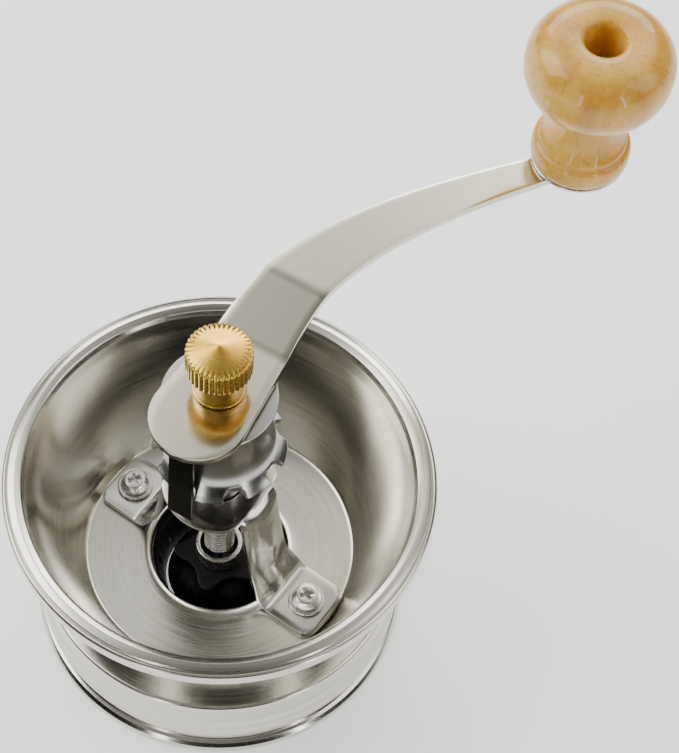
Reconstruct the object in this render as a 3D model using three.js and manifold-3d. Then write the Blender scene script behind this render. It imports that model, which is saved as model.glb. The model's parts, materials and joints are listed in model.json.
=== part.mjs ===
// Hand crank coffee grinder head: a steel hopper on a screw collar for a glass jar, with a
// strap bridge over the hopper, a toothed bell that sets the grind, and a cranked arm with
// a turned wooden knob. Millimetres, +Z up. The origin is on the shaft's axis, in the plane
// of the collar's lower edge.
import * as THREE from 'three';
import { mergeVertices } from 'three/addons/utils/BufferGeometryUtils.js';
import Module from 'manifold-3d';

const wasm = await Module();
wasm.setup();

// ---- driving dimensions ------------------------------------------------------------
const gap = 0.3; // clearance between neighbouring pieces
const sheet = 0.8; // sheet metal of hopper and collar

const collarHeight = 23.4;
const shoulderWidth = 7.4; // flat ring between the hopper's recess and the collar's wall
const recessRoom = 1.312; // between the hopper's wall and the collar's shoulder
const beadOverhang = 1.6; // how far the collar's rolled lower edge stands out
const beadHeight = 4.2;
const threadRise = 0.5; // how far the rolled thread stands out
const threadHeights = [8.6, 13]; // the two turns of the jar thread
const gasketWidth = 5;
const gasketThickness = 1.6;

const rimRadius = 51;
const rimWidth = 5.4;
const rimDepth = 4.8; // height of the rolled rim
const bowlDepth = 36.7; // hopper floor to top of rim
const shoulderToFloor = 2.5; // collar's shoulder above the hopper floor
const floorMargin = 0.9; // hopper floor beyond the ends of the bridge's feet
const wallLean = 4; // hopper wall from upright, just under the rim, degrees
const throatRadius = 16.5;
const throatDepth = 3.3;

const bridgeTurn = 143; // bridge's run in plan, degrees from +X
const bridgeRise = 34.1; // top of the bridge plate above the hopper floor
const bridgeRadius = 13.5;
const strapThickness = 1.5;
const strapWidth = 13;
const footWidth = 15.4;
const footStart = 19.8;
const footPastScrew = 5.7; // end of a foot beyond its screw
const footCorner = 1.6;
const nutRoom = 5.4; // screws outside the burr housing, room for their nuts
const screwRadius = 1.9;
const screwHeadRadius = 3.6;
const screwHeadHeight = 2.5;
const washerRadius = 4.4;
const washerThickness = 0.8;
const nutAcrossFlats = 7;
const nutThickness = 2.9;

const shaftRadius = 3.9;
const shaftFlats = 6; // across the flats that key clip, crank and inner burr
const shaftFoot = 1.6; // lower end of the shaft above the collar's lower edge
const stackTravel = 1.2; // how far the shaft and inner burr go up or down from rest
const bushWall = 1.5;
const bushFlangeRise = 1.9; // flange beyond the bush's wall
const bushFlangeThickness = 1.2;
const bushHeight = 28.7; // top of the bush above the bridge plate

const housingRadius = 21.1;
const flangePastScrew = 5; // housing's flange beyond the screws
const housingSheet = 1.2;
const housingFoot = 4.6; // underside of the housing above the collar's lower edge
const housingLedge = 3.4; // ledge that carries the outer burr
const burrEntry = 15.8; // outer burr's bore at the top
const burrMouth = 13.5; // outer burr's bore at the bottom
const outerGrooves = 12;
const innerBurrRadius = 13.1;
const burrNutUnder = 2.4; // burr nut above the collar's lower edge
const burrNutThickness = 2.4;
const burrNutWall = 2; // least wall of the burr nut
const burrWasherThickness = 0.8;
const burrWasherWidth = 2.8;
const lobeTip = 11.4;
const lobeValley = 7.9;
const lobeCount = 5;
const lobeTurn = 178;
const sleeveWall = 1.25;
const sleeveRoom = 0.7; // between shaft and burr spacer
const sleeveTop = 2.6; // above the hopper floor

const bellLift = 16; // bell's teeth above the bridge plate
const bellHeight = 20.9;
const bellRadius = 11.4;
const capRadius = 13.1;
const capThickness = 1;
const bellSheet = 1.2;
const toothRadius = 15.6;
const toothRoot = 12.9;
const toothCount = 8;
const toothTurn = -9; // first tooth in plan, degrees
const notchAngle = 26;

const clipThickness = 0.8;
const clipWidth = 6.3;
const clipTop = 15.4; // leg's middle from the axis, at the top
const clipBottom = 17.2; // and at its lower end
const clipDrop = 6; // lower end of the legs under the bell's teeth

const crankTurn = 36.1; // knob's direction in plan, degrees from +X
const crankReach = 102.6;
const crankThickness = 2;
const hubHalfWidth = 10;
const endHalfWidth = 3.3;
const tailRadius = 10.9;
const tailReach = 8.5; // middle of the round tail behind the axis
const hubTurn = 21.9; // hub plate's run, from the line between axis and knob
const firstFold = 13.8;
const secondFold = 30;
const armRise = 5.5;
const armFall = 2.1; // knob's eye below the arm's highest part
const eyeRadius = 7;

const thumbRadius = 7.35;
const thumbNeck = 5.8;
const thumbHeadHeight = 6.95;
const thumbNeckHeight = 7.6;
const thumbCone = 2.05;
const fluteCount = 36;
const fluteDepth = 0.35;

const knobRadius = 16.5;
const knobBase = 11.4;
const knobWaist = 7.6;
const knobHeight = 39.7;
const knobWell = 4.5; // well that sinks the screw's head
const knobWellDepth = 13;
const knobScrewRadius = 2;
const knobScrewHead = 3.6;
const knobBore = 2.4;
const knobWasherRadius = 10.9;
const knobWasherThickness = 0.7;

// ---- radii that follow from them ----------------------------------------------------
const screwCircle = housingRadius + nutRoom;
const footEnd = screwCircle + footPastScrew;
const housingFlange = screwCircle + flangePastScrew;
const floorRadius = footEnd + floorMargin;
const bushRadius = shaftRadius + gap + bushWall;
const bushFlange = bushRadius + bushFlangeRise;
const sleeveBore = shaftRadius + sleeveRoom;
const sleeveRadius = sleeveBore + sleeveWall;
const burrNutAcross = 2 * (shaftRadius + burrNutWall);
const burrWasherRadius = shaftRadius + gap + burrWasherWidth;

// ---- heights that follow from them --------------------------------------------------
const floorTop = collarHeight - shoulderToFloor;
const rimTop = floorTop + bowlDepth;
const deckTop = floorTop - sheet - gap;
const flangeTop = deckTop - sheet - gap;
const burrUnder = housingFoot + housingSheet + gap;
const burrTop = floorTop - throatDepth - gap;
const footUnder = floorTop + gap;
const footTop = footUnder + strapThickness;
const bridgeTop = floorTop + bridgeRise;
const bridgeUnder = bridgeTop - strapThickness;
const bushTop = bridgeTop + bushHeight;
const bellUnder = bridgeTop + bellLift;
const bellTop = bellUnder + bellHeight;
const capUnder = bellTop + gap;
const capTop = capUnder + capThickness;
const clipUnder = capTop + gap;
const crankUnder = clipUnder + clipThickness + gap;
const crankTop = crankUnder + crankThickness;
const thumbUnder = crankTop + gap;
const armTop = crankTop + armRise;
const eyeTop = armTop - armFall;
const knobWasherUnder = eyeTop + gap;
const knobUnder = knobWasherUnder + knobWasherThickness + gap;
const burrNutTop = burrNutUnder + burrNutThickness;
const burrWasherTop = burrNutTop + gap + burrWasherThickness;
const innerBurrUnder = burrWasherTop + gap;
const innerBurrTop = floorTop - 2.6;

const rad = THREE.MathUtils.degToRad;
const polar = (radius, degrees) => [radius * Math.cos(rad(degrees)), radius * Math.sin(rad(degrees))];

// ---- making and joining solids ------------------------------------------------------
function closed(geometry) {
  const bare = geometry.clone();
  for (const name of Object.keys(bare.attributes)) {
    if (name !== 'position') bare.deleteAttribute(name);
  }
  const merged = mergeVertices(bare, 1e-4);
  const corner = merged.index.array;
  const place = merged.attributes.position;
  const kept = [];
  let volume = 0;
  const [a, b, c] = [new THREE.Vector3(), new THREE.Vector3(), new THREE.Vector3()];
  for (let i = 0; i < corner.length; i += 3) {
    const [p, q, r] = [corner[i], corner[i + 1], corner[i + 2]];
    if (p === q || q === r || r === p) continue;
    a.fromBufferAttribute(place, p);
    b.fromBufferAttribute(place, q);
    c.fromBufferAttribute(place, r);
    volume += a.dot(b.cross(c));
    kept.push(p, q, r);
  }
  if (volume < 0) kept.reverse();
  merged.setIndex(kept);
  return merged;
}

function toManifold(geometry) {
  const shape = closed(geometry);
  return new wasm.Manifold(new wasm.Mesh({
    numProp: 3,
    vertProperties: new Float32Array(shape.attributes.position.array),
    triVerts: new Uint32Array(shape.index.array),
  }));
}

function fromManifold(solid) {
  const { vertProperties, triVerts } = solid.getMesh();
  const geometry = new THREE.BufferGeometry();
  geometry.setAttribute('position', new THREE.BufferAttribute(vertProperties, 3));
  geometry.setIndex(new THREE.BufferAttribute(triVerts, 1));
  return geometry;
}

const join = (...parts) => fromManifold(parts.map(toManifold).reduce((all, part) => all.add(part)));
const cut = (body, ...tools) => fromManifold(tools.map(toManifold).reduce((left, tool) => left.subtract(tool),
  toManifold(body)));

const meet = (one, other) => fromManifold(toManifold(one).intersect(toManifold(other)));

// A closed [radius, height] outline turned about the Z axis.
function turned(outline, segments) {
  const points = [...outline, outline[0]].map(([r, z]) => new THREE.Vector2(r, z));
  return closed(new THREE.LatheGeometry(points, segments).rotateX(Math.PI / 2));
}

const tube = (outer, inner, bottom, top, segments) => turned(
  [[inner, bottom], [outer, bottom], [outer, top], [inner, top]], segments);

function rod(radius, bottom, top, segments, x = 0, y = 0) {
  return new THREE.CylinderGeometry(radius, radius, top - bottom, segments)
    .rotateX(Math.PI / 2).translate(x, y, (top + bottom) / 2);
}

// A rod with a flat on either side, as the shaft has where it keys other pieces.
function flatted(radius, acrossFlats, bottom, top) {
  const slab = new THREE.BoxGeometry(3 * radius, acrossFlats, 2 * (top - bottom))
    .translate(0, 0, (top + bottom) / 2);
  return meet(rod(radius, bottom, top, 24), slab).rotateZ(rad(crankTurn + hubTurn));
}
const keyHole = (bottom, top) => flatted(shaftRadius + gap, shaftFlats + 2 * gap, bottom, top);

// A flat outline raised between two heights.
function plate(shape, bottom, top, curveSegments = 12) {
  return new THREE.ExtrudeGeometry(shape, { depth: top - bottom, bevelEnabled: false, curveSegments })
    .translate(0, 0, bottom);
}

// A box that is bent along a path: section(t) gives the middle point, the side and the up
// direction, the half width and the half thickness at t from 0 to 1.
function bentStrip(steps, section) {
  const box = new THREE.BoxGeometry(1, 2, 2, steps, 1, 1);
  const place = box.attributes.position;
  for (let i = 0; i < place.count; i += 1) {
    const { middle, side, up, halfWidth, halfThickness } = section(place.getX(i) + 0.5);
    const point = middle.clone()
      .addScaledVector(side, place.getY(i) * halfWidth)
      .addScaledVector(up, place.getZ(i) * halfThickness);
    place.setXYZ(i, point.x, point.y, point.z);
  }
  return box;
}

function hexagon(acrossFlats, bore) {
  const corner = acrossFlats / Math.sqrt(3);
  const shape = new THREE.Shape();
  for (let k = 0; k < 6; k += 1) {
    const [x, y] = polar(corner, 60 * k);
    if (k === 0) shape.moveTo(x, y);
    else shape.lineTo(x, y);
  }
  shape.closePath();
  shape.holes.push(new THREE.Path().absarc(0, 0, bore, 0, 2 * Math.PI, true));
  return shape;
}

const group = new THREE.Group();
function add(name, geometry, { color, roughness, metalness }, parent = group) {
  const material = new THREE.MeshStandardMaterial({ color, roughness, metalness });
  const mesh = new THREE.Mesh(closed(geometry), material);
  mesh.name = name;
  parent.add(mesh);
  return mesh;
}

const brushedSteel = { color: 0xb4b0a4, roughness: 0.32, metalness: 1 };
const polishedSteel = { color: 0xc8c5b8, roughness: 0.1, metalness: 1 };
const plainSteel = { color: 0x9c9a94, roughness: 0.35, metalness: 1 };
const blackIron = { color: 0x1b1a19, roughness: 0.55, metalness: 0.6 };
const brass = { color: 0xc9a55a, roughness: 0.22, metalness: 1 };
const beech = { color: 0xd0a468, roughness: 0.3, metalness: 0 };
const rubber = { color: 0xe4e1d8, roughness: 0.7, metalness: 0 };

// ---- hopper -------------------------------------------------------------------------
const screwPlaces = [polar(screwCircle, bridgeTurn), polar(screwCircle, bridgeTurn + 180)];
const screwHoles = (bottom, top) => screwPlaces.map(([x, y]) => rod(screwRadius + gap, bottom, top, 20, x, y));

// The wall is an arc from just under the rim to the floor's edge. It starts wallLean from
// upright; its chord fixes how far it leans at the floor.
const wallTop = new THREE.Vector2(rimRadius - rimWidth - 0.4, rimTop - rimDepth);
const wallFoot = new THREE.Vector2(floorRadius, floorTop);
const chord = wallTop.clone().sub(wallFoot);
const halfTurn = Math.atan2(chord.x, chord.y) - rad(wallLean);
const wallArcRadius = chord.length() / (2 * Math.sin(halfTurn));
const wallCentre = new THREE.Vector2(
  wallTop.x - wallArcRadius * Math.cos(rad(wallLean)),
  wallTop.y + wallArcRadius * Math.sin(rad(wallLean)));

// The wall's points from rim to floor, pushed out by an offset.
function wallPoints(offset, steps) {
  return Array.from({ length: steps + 1 }, (_, i) => {
    const angle = rad(wallLean) + (2 * halfTurn * i) / steps;
    const radius = wallArcRadius + offset;
    return [wallCentre.x + radius * Math.cos(angle), wallCentre.y - radius * Math.sin(angle)];
  });
}

function hopperBowl() {
  const wallSteps = 4;
  const lip = 2.6; // radius of the drawn throat's edge
  const lipArc = (radius, from) => [0, 1, 2, 3].map((i) => {
    const angle = rad(90 + 30 * (from ? 3 - i : i));
    return [throatRadius + lip + radius * Math.cos(angle), floorTop - lip + radius * Math.sin(angle)];
  });
  const outline = [
    [throatRadius + sheet, floorTop - throatDepth], [throatRadius, floorTop - throatDepth],
    ...lipArc(lip, true),
    ...wallPoints(0, wallSteps).reverse(),
    [rimRadius - rimWidth, rimTop - 1.8], [rimRadius - rimWidth + 1, rimTop - 0.5],
    [rimRadius - rimWidth + 2.2, rimTop], [rimRadius - 1.8, rimTop - 0.5],
    [rimRadius - 0.7, rimTop - 0.8], [rimRadius, rimTop - 1.9],
    [rimRadius, rimTop - 3.9], [rimRadius - 0.7, rimTop - rimDepth],
    [rimRadius - 2.4, rimTop - rimDepth + 0.2], [rimRadius - 4, rimTop - rimDepth + 1],
    ...wallPoints(sheet, wallSteps).slice(0, -1),
    [floorRadius + 0.4, floorTop - sheet],
    ...lipArc(lip - sheet, false),
  ];
  return cut(turned(outline, 36), ...screwHoles(floorTop - 2, floorTop + 2));
}
add('hopper_bowl', hopperBowl(), brushedSteel);

// ---- collar and gasket --------------------------------------------------------------
const wallOutside = wallCentre.x + Math.sqrt((wallArcRadius + sheet) ** 2 - (wallCentre.y - collarHeight) ** 2);
const recess = wallOutside + recessRoom;
const collarRadius = recess + shoulderWidth;
const beadRadius = collarRadius + beadOverhang;
const collarBore = collarRadius - sheet;

function screwCollar() {
  const ridge = (z, r, out) => [[r, z - 1.6], [r + out, z], [r, z + 1.6]];
  const outside = [
    [beadRadius - 0.8, 0], [beadRadius, 1], [beadRadius, 2.4], [beadRadius - 1, beadHeight - 0.5],
    [collarRadius, beadHeight],
    ...threadHeights.flatMap((z) => ridge(z, collarRadius, threadRise)),
    [collarRadius, collarHeight - 0.8], [collarRadius - 0.8, collarHeight],
    [recess, collarHeight], [recess, deckTop],
    [throatRadius + 3.3, deckTop], [throatRadius + 3.3, deckTop - sheet],
  ];
  const inside = [
    [recess + sheet, deckTop - sheet], [recess + sheet, collarHeight - sheet],
    [collarBore, collarHeight - sheet],
    ...threadHeights.flatMap((z) => ridge(z, collarBore, threadRise)).reverse(),
    [collarBore, 0.6], [collarBore + 0.6, 0],
  ];
  return cut(turned([...outside, ...inside], 36), ...screwHoles(deckTop - 2, deckTop + 2));
}
add('screw_collar', screwCollar(), brushedSteel);

const gasketTop = collarHeight - sheet - gap;
add('jar_gasket', tube(collarBore - gap, collarBore - gap - gasketWidth, gasketTop - gasketThickness,
  gasketTop, 36), rubber);

// ---- bridge -------------------------------------------------------------------------
const strapPath = new THREE.CurvePath();
{
  const middleTop = bridgeTop - strapThickness / 2;
  const middleFoot = footUnder + strapThickness / 2;
  const bendRadius = 2;
  const legTop = bridgeRadius - 0.9;
  const legFoot = legTop + 2.2;
  const side = (sign) => [
    new THREE.Vector2(sign * (legTop - bendRadius), middleTop),
    new THREE.Vector2(sign * legTop, middleTop),
    new THREE.Vector2(sign * (legTop + 0.4), middleTop - bendRadius),
    new THREE.Vector2(sign * legFoot, middleFoot + 9),
    new THREE.Vector2(sign * (legFoot + 1), middleFoot + 0.6),
    new THREE.Vector2(sign * footStart, middleFoot),
    new THREE.Vector2(sign * footEnd, middleFoot),
  ];
  const [left, right] = [side(-1), side(1)];
  strapPath.add(new THREE.LineCurve(left[6], left[5]));
  strapPath.add(new THREE.QuadraticBezierCurve(left[5], left[4], left[3]));
  strapPath.add(new THREE.LineCurve(left[3], left[2]));
  strapPath.add(new THREE.QuadraticBezierCurve(left[2], left[1], left[0]));
  strapPath.add(new THREE.LineCurve(left[0], right[0]));
  strapPath.add(new THREE.QuadraticBezierCurve(right[0], right[1], right[2]));
  strapPath.add(new THREE.LineCurve(right[2], right[3]));
  strapPath.add(new THREE.QuadraticBezierCurve(right[3], right[4], right[5]));
  strapPath.add(new THREE.LineCurve(right[5], right[6]));
}

function bridge() {
  const stepsPerCurve = [1, 5, 2, 4, 2, 4, 2, 5, 1];
  const stations = strapPath.curves.flatMap((curve, k) => Array.from({ length: stepsPerCurve[k] },
    (_, i) => ({ point: curve.getPoint(i / stepsPerCurve[k]), run: curve.getTangent(i / stepsPerCurve[k]) })));
  const last = strapPath.curves.at(-1);
  stations.push({ point: last.getPoint(1), run: last.getTangent(1) });
  const side = new THREE.Vector3(0, 1, 0);
  const strap = bentStrip(stations.length - 1, (t) => {
    const { point, run } = stations[Math.round(t * (stations.length - 1))];
    const flare = THREE.MathUtils.smoothstep(Math.abs(point.x), footStart - 5, footStart);
    return {
      middle: new THREE.Vector3(point.x, 0, point.y),
      side,
      up: new THREE.Vector3(-run.y, 0, run.x),
      halfWidth: (strapWidth + (footWidth - strapWidth) * flare) / 2,
      halfThickness: strapThickness / 2,
    };
  });
  const centre = rod(bridgeRadius, bridgeUnder, bridgeTop, 40);
  const holes = [-screwCircle, screwCircle].map((x) => rod(screwRadius + gap, footUnder - 1, footTop + 1, 20, x));
  const corners = [-1, 1].flatMap((end) => [-1, 1].map((edge) => {
    const block = new THREE.BoxGeometry(footCorner, footCorner, 3)
      .translate(end * (footEnd - footCorner / 2 + 0.01), edge * (footWidth - footCorner + 0.01) / 2, footTop);
    return cut(block, rod(footCorner, footUnder - 2, footTop + 3, 24, end * (footEnd - footCorner),
      edge * (footWidth / 2 - footCorner)));
  }));
  const shaftHole = rod(bushRadius + gap, bridgeUnder - 1, bridgeTop + 1, 24);
  return cut(join(strap, centre), shaftHole, ...holes, ...corners).rotateZ(rad(bridgeTurn));
}
add('bridge', bridge(), polishedSteel);

add('bridge_bush', turned([
  [shaftRadius + gap, bridgeUnder - gap - bushFlangeThickness], [bushFlange, bridgeUnder - gap - bushFlangeThickness],
  [bushFlange, bridgeUnder - gap], [bushRadius, bridgeUnder - gap], [bushRadius, bushTop],
  [shaftRadius + gap, bushTop],
], 28), plainSteel);

// A pan head screw with a cross recess; its shank runs down through the stacked sheets.
const washerUnder = footTop + gap;
const headUnder = washerUnder + washerThickness + gap;
const nutTop = flangeTop - housingSheet - gap;
const nutUnder = nutTop - nutThickness;

function panScrew(radius, headRadius, under, height, end) {
  const crown = under + height;
  const body = turned([
    [0, end], [radius, end], [radius, under], [headRadius, under], [headRadius, under + 0.45 * height],
    [headRadius * 0.86, under + 0.8 * height], [headRadius * 0.55, crown], [0, crown],
  ], 20);
  const arm = (turn) => new THREE.BoxGeometry(headRadius * 1.15, headRadius * 0.26, height)
    .rotateZ(turn).translate(0, 0, crown);
  return cut(body, arm(rad(20)), arm(rad(110)));
}

for (const [k, name] of ['left', 'right'].entries()) {
  const spot = new THREE.Group();
  spot.position.set(...screwPlaces[k], 0);
  group.add(spot);
  add(`bridge_washer_${name}`, tube(washerRadius, screwRadius + gap, washerUnder, washerUnder + washerThickness,
    20), plainSteel, spot);
  add(`bridge_screw_${name}`, panScrew(screwRadius, screwHeadRadius, headUnder, screwHeadHeight,
    nutUnder - 0.7), plainSteel, spot);
  add(`bridge_nut_${name}`, plate(hexagon(nutAcrossFlats, screwRadius + gap), nutUnder, nutTop, 8),
    plainSteel, spot);
}

// ---- burrs and their housing --------------------------------------------------------
const housingBore = housingRadius - housingSheet;

function burrHousing() {
  const outline = [
    [housingBore - housingLedge, housingFoot], [housingRadius, housingFoot], [housingRadius, flangeTop - housingSheet],
    [housingFlange, flangeTop - housingSheet], [housingFlange, flangeTop], [housingBore, flangeTop],
    [housingBore, housingFoot + housingSheet],
    [housingBore - housingLedge, housingFoot + housingSheet],
  ];
  return cut(turned(outline, 36), ...screwHoles(flangeTop - 3, flangeTop + 1));
}
add('burr_housing', burrHousing(), plainSteel);

function outerBurr() {
  const outside = housingBore - gap;
  const body = turned([
    [burrMouth, burrUnder], [outside, burrUnder], [outside, burrTop], [burrEntry + 0.6, burrTop],
    [burrEntry, burrTop - 0.6],
  ], 36);
  const grooves = Array.from({ length: outerGrooves }, (_, k) => {
    const [x, y] = polar((burrMouth + burrEntry) / 2 + 0.4, (360 / outerGrooves) * k);
    return rod(0.9, burrUnder - 1, burrTop + 1, 6, x, y);
  });
  return cut(body, ...grooves);
}
add('outer_burr', outerBurr(), blackIron);

// The inner burr is a cone that widens downwards; towards its top the flutes give way to
// the lobes that draw the beans in.
function innerBurr() {
  const coneTop = innerBurrUnder + (innerBurrTop - innerBurrUnder) * 0.5;
  const lobeUnder = innerBurrTop - 2.4;
  const burr = turned([
    [0, innerBurrUnder], [innerBurrRadius - 0.6, innerBurrUnder], [innerBurrRadius, innerBurrUnder + 0.9],
    [innerBurrRadius - 1.2, coneTop], [lobeTip, lobeUnder], [lobeTip, innerBurrTop], [0, innerBurrTop],
  ], 60);
  const place = burr.attributes.position;
  for (let i = 0; i < place.count; i += 1) {
    const [x, y, z] = [place.getX(i), place.getY(i), place.getZ(i)];
    const radius = Math.hypot(x, y);
    if (radius < 1) continue;
    const angle = Math.atan2(y, x);
    const lobe = ((1 + Math.cos(lobeCount * (angle - rad(lobeTurn)))) / 2) ** 1.5;
    const starred = THREE.MathUtils.smoothstep(z, coneTop, lobeUnder);
    const fluted = (1 - starred) * 0.35 * (Math.cos(12 * angle) - 1);
    const factor = 1 + (starred * (lobeValley - lobeTip) * (1 - lobe) + fluted) / radius;
    place.setXY(i, x * factor, y * factor);
  }
  return cut(burr, keyHole(innerBurrUnder - 1, innerBurrTop + 1));
}
add('inner_burr', innerBurr(), blackIron);
add('burr_spacer', tube(sleeveRadius, sleeveBore, innerBurrTop + gap, floorTop + sleeveTop, 28), plainSteel);
add('burr_washer', tube(burrWasherRadius, shaftRadius + gap, burrNutTop + gap, burrWasherTop, 24), plainSteel);
add('burr_nut', plate(hexagon(burrNutAcross, shaftRadius + gap), burrNutUnder, burrNutTop, 8), plainSteel);

// ---- shaft --------------------------------------------------------------------------
// Round and threaded between two flatted ends; the lower keys the inner burr, the upper the
// clip and the crank.
const studTop = thumbUnder + thumbNeckHeight + 2;

function driveShaft() {
  const lowerKey = floorTop - 2 * gap - stackTravel;
  const upperKey = capUnder - stackTravel;
  return join(
    flatted(shaftRadius, shaftFlats, shaftFoot, lowerKey),
    rod(shaftRadius, lowerKey - gap, upperKey, 24),
    flatted(shaftRadius, shaftFlats, upperKey - gap, studTop));
}
add('drive_shaft', driveShaft(), plainSteel);

// ---- adjusting bell -----------------------------------------------------------------
function adjustingBell() {
  const flare = [
    [bellRadius, bellUnder + 13], [bellRadius + 0.4, bellUnder + 8], [bellRadius + 1.2, bellUnder + 3.6],
    [toothRoot + 0.7, bellUnder + 1.6], [toothRadius, bellUnder + 0.9],
  ];
  const inside = flare.map(([r, z], i) => (i < 3 ? [r - bellSheet, z] : [r - 0.4, z - 0.9])).reverse();
  const body = turned([
    [shaftRadius + gap, bellTop - bellSheet], [shaftRadius + gap, bellTop], [bellRadius - 0.6, bellTop],
    [bellRadius, bellTop - 0.6], ...flare, ...inside, [bellRadius - bellSheet, bellTop - bellSheet],
  ], 40);
  const half = rad(notchAngle / 2);
  const reach = toothRadius + 2;
  const notch = new THREE.Shape();
  notch.absarc(0, 0, toothRoot, -half, half, false);
  notch.lineTo(reach * Math.cos(half * 1.1), reach * Math.sin(half * 1.1));
  notch.lineTo(reach * Math.cos(half * 1.1), -reach * Math.sin(half * 1.1));
  notch.closePath();
  const notches = Array.from({ length: toothCount }, (_, k) => plate(notch, bellUnder - 1, bellUnder + 5, 4)
    .rotateZ(rad(toothTurn + (360 / toothCount) * (k + 0.5))));
  return cut(body, ...notches);
}
add('adjusting_bell', adjustingBell(), polishedSteel);
add('adjusting_nut', tube(bushRadius + 2.3, shaftRadius + gap, bushTop + gap, bellTop - bellSheet - gap, 24),
  plainSteel);

add('bell_cap', turned([
  [shaftRadius + gap, capUnder], [capRadius - 0.3, capUnder], [capRadius, capUnder + 0.3],
  [capRadius, capTop - 0.3], [capRadius - 0.3, capTop], [shaftRadius + gap, capTop],
], 32), polishedSteel);

// ---- lock clip ----------------------------------------------------------------------
function lockClip() {
  const top = clipUnder + clipThickness;
  const foot = bellUnder - clipDrop;
  const half = clipThickness / 2;
  const outline = new THREE.Shape();
  outline.moveTo(-clipBottom - half, foot);
  outline.lineTo(-clipBottom + half, foot);
  outline.lineTo(-clipTop + half, clipUnder);
  outline.lineTo(clipTop - half, clipUnder);
  outline.lineTo(clipBottom - half, foot);
  outline.lineTo(clipBottom + half, foot);
  outline.lineTo(clipTop + half, top - 0.5);
  outline.lineTo(clipTop, top);
  outline.lineTo(-clipTop, top);
  outline.lineTo(-clipTop - half, top - 0.5);
  outline.closePath();
  const strip = plate(outline, -clipWidth / 2, clipWidth / 2).rotateX(Math.PI / 2);
  const disc = rod(shaftRadius + 2.6, clipUnder, top, 24);
  return cut(join(strip, disc).rotateZ(rad(crankTurn + hubTurn)), keyHole(clipUnder - 1, top + 1));
}
add('lock_clip', lockClip(), plainSteel);

// ---- crank arm ----------------------------------------------------------------------
// Modelled with the knob on +X, then turned to its resting direction. In plan the arm runs
// straight over the hub and bows back to the knob's line.
const foldPoint = new THREE.Vector2(...polar(firstFold, hubTurn));
const bow = new THREE.CubicBezierCurve(
  foldPoint,
  foldPoint.clone().add(new THREE.Vector2(...polar(crankReach * 0.29, hubTurn))),
  new THREE.Vector2(crankReach, 0).add(new THREE.Vector2(...polar(crankReach * 0.34, 180 - 15))),
  new THREE.Vector2(crankReach, 0));
const bowSteps = 22;

function armHeight(reach) {
  const ramp = THREE.MathUtils.clamp((reach - firstFold) / (secondFold - firstFold), 0, 1);
  const levelFrom = crankReach - knobWasherRadius - 1; // the arm lies flat under the knob's washer
  const along = THREE.MathUtils.clamp((reach - secondFold) / (levelFrom - secondFold), 0, 1);
  return crankTop + armRise * ramp - armFall * along ** 2;
}

function crankArm() {
  const armAt = (t) => {
    const hubSteps = 2;
    const k = Math.round(t * (hubSteps + bowSteps));
    const onHub = k < hubSteps;
    const share = (k - hubSteps) / bowSteps;
    const point = onHub ? new THREE.Vector2(...polar(-tailReach + (k / hubSteps) * (tailReach + firstFold),
      hubTurn)) : bow.getPoint(share);
    const run = onHub ? new THREE.Vector2(...polar(1, hubTurn)) : bow.getTangent(share);
    const reach = onHub ? 0 : point.length();
    const taper = Math.max(0, 1 - reach / crankReach) ** 1.35;
    const halfWidth = k === 0 ? tailRadius : endHalfWidth + (hubHalfWidth - endHalfWidth) * taper;
    return {
      middle: new THREE.Vector3(point.x, point.y, armHeight(reach) - crankThickness / 2),
      side: new THREE.Vector3(-run.y, run.x, 0),
      up: new THREE.Vector3(0, 0, 1),
      halfWidth,
      halfThickness: crankThickness / 2,
    };
  };
  const strip = bentStrip(bowSteps + 2, armAt);
  const tail = rod(tailRadius, crankUnder, crankTop, 36, ...polar(-tailReach, hubTurn));
  const eye = rod(eyeRadius, eyeTop - crankThickness, eyeTop, 32, crankReach);
  const key = keyHole(crankUnder - 1, crankTop + 1).rotateZ(rad(-crankTurn));
  const hole = rod(knobScrewRadius + gap, eyeTop - 5, eyeTop + 3, 20, crankReach);
  return cut(join(strip, tail, eye), key, hole);
}
const crank = new THREE.Group();
crank.rotation.z = rad(crankTurn);
group.add(crank);
add('crank_arm', crankArm(), polishedSteel, crank);

// ---- thumb nut ----------------------------------------------------------------------
function thumbNut() {
  const headUnderside = thumbUnder + thumbNeckHeight;
  const headTop = headUnderside + thumbHeadHeight;
  const head = new THREE.Shape();
  const steps = fluteCount * 2;
  for (let k = 0; k < steps; k += 1) {
    const [x, y] = polar(thumbRadius - (k % 2) * fluteDepth, (360 / steps) * k);
    if (k === 0) head.moveTo(x, y);
    else head.lineTo(x, y);
  }
  head.closePath();
  const cone = turned([[0, headTop - 0.5], [thumbRadius - 0.4, headTop - 0.5], [thumbRadius - 0.4, headTop],
    [0, headTop + thumbCone]], 36);
  const neck = turned([
    [0, thumbUnder], [thumbNeck + 0.2, thumbUnder], [thumbNeck + 0.2, thumbUnder + 0.7],
    [thumbNeck - 0.4, thumbUnder + 0.8], [thumbNeck - 0.4, thumbUnder + 1.1], [thumbNeck, thumbUnder + 1.2],
    [thumbNeck, headUnderside + 0.5], [0, headUnderside + 0.5],
  ], 32);
  const bore = rod(shaftRadius + gap, thumbUnder - 1, studTop + stackTravel + gap, 24);
  return cut(join(plate(head, headUnderside, headTop), cone, neck), bore);
}
add('thumb_nut', thumbNut(), brass);

// ---- knob and its screw -------------------------------------------------------------
const wellFloor = knobUnder + knobHeight - knobWellDepth;

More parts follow.
